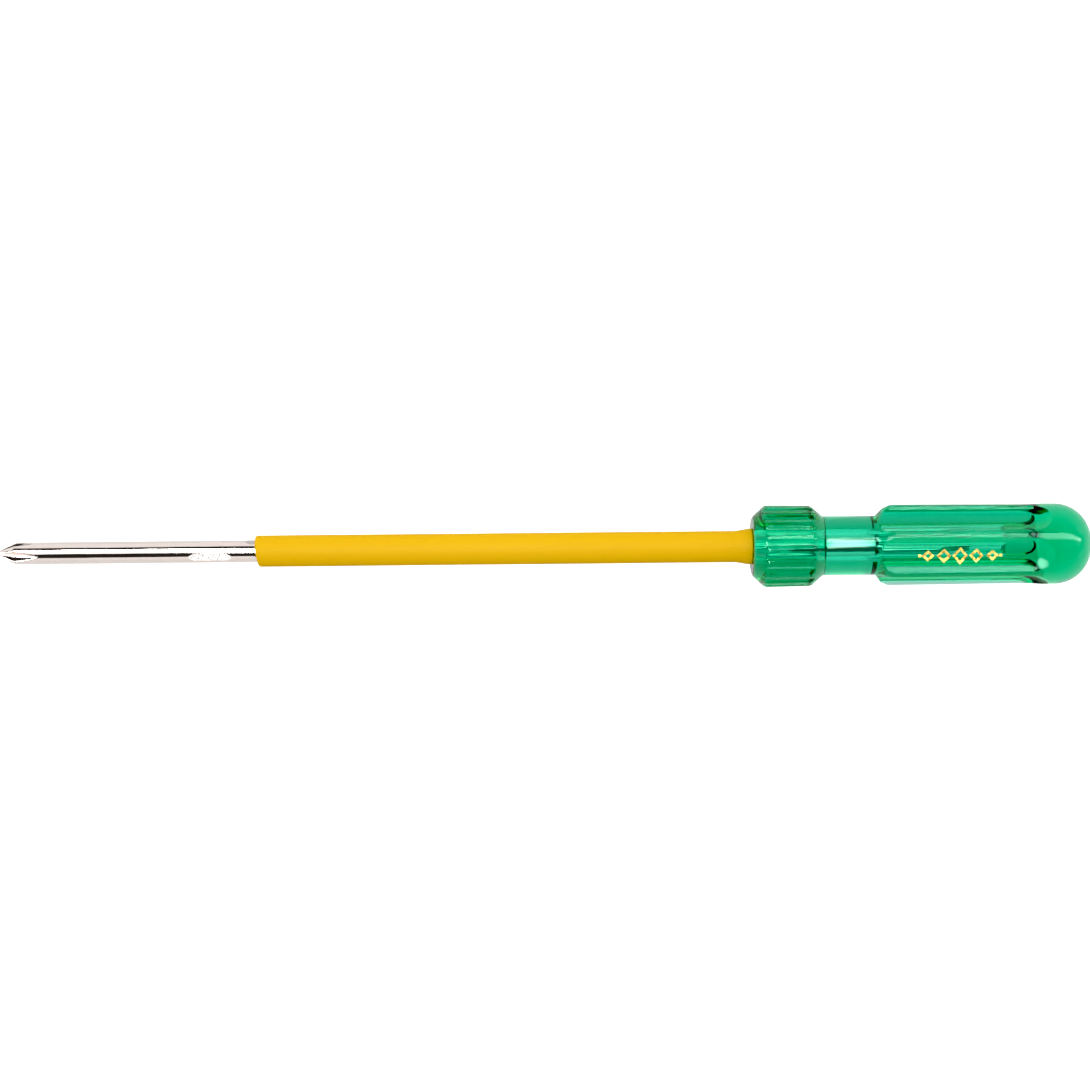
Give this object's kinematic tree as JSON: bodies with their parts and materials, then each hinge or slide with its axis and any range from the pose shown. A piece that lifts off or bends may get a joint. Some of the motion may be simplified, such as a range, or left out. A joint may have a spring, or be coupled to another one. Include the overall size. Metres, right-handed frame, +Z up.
{
  "type": "insulated screwdriver",
  "caption": "Long cross-point screwdriver with a reversible chromed blade, a plastic shaft sleeve and a clear fluted handle with a grooved collar.",
  "frame": {"origin": "centre of the cross tip's end, on the tool's axis", "axes": "+X along the tool from the cross tip to the handle's butt; +Z up, along one of the handle's six lands; +Y completes the frame"},
  "size_m": [0.2946, 0.022, 0.0225],
  "materials": {
    "handle_acetate": "clear green cellulose acetate, polished",
    "blade_chrome": "bright chrome plate on steel",
    "sleeve_pvc": "extruded flexible PVC, satin",
    "foil_gold": "hot-pressed gold foil"
  },
  "bodies": {
    "handle": {"handle": "handle_acetate", "foil_mark": "foil_gold"},
    "blade": {"blade": "blade_chrome", "insulation_sleeve": "sleeve_pvc"}
  },
  "joints": [
    {"name": "blade_slide", "type": "slide", "parent": "handle", "child": "blade", "axis": [-1, 0, 0], "range_m": [0, 0.062]}
  ]
}
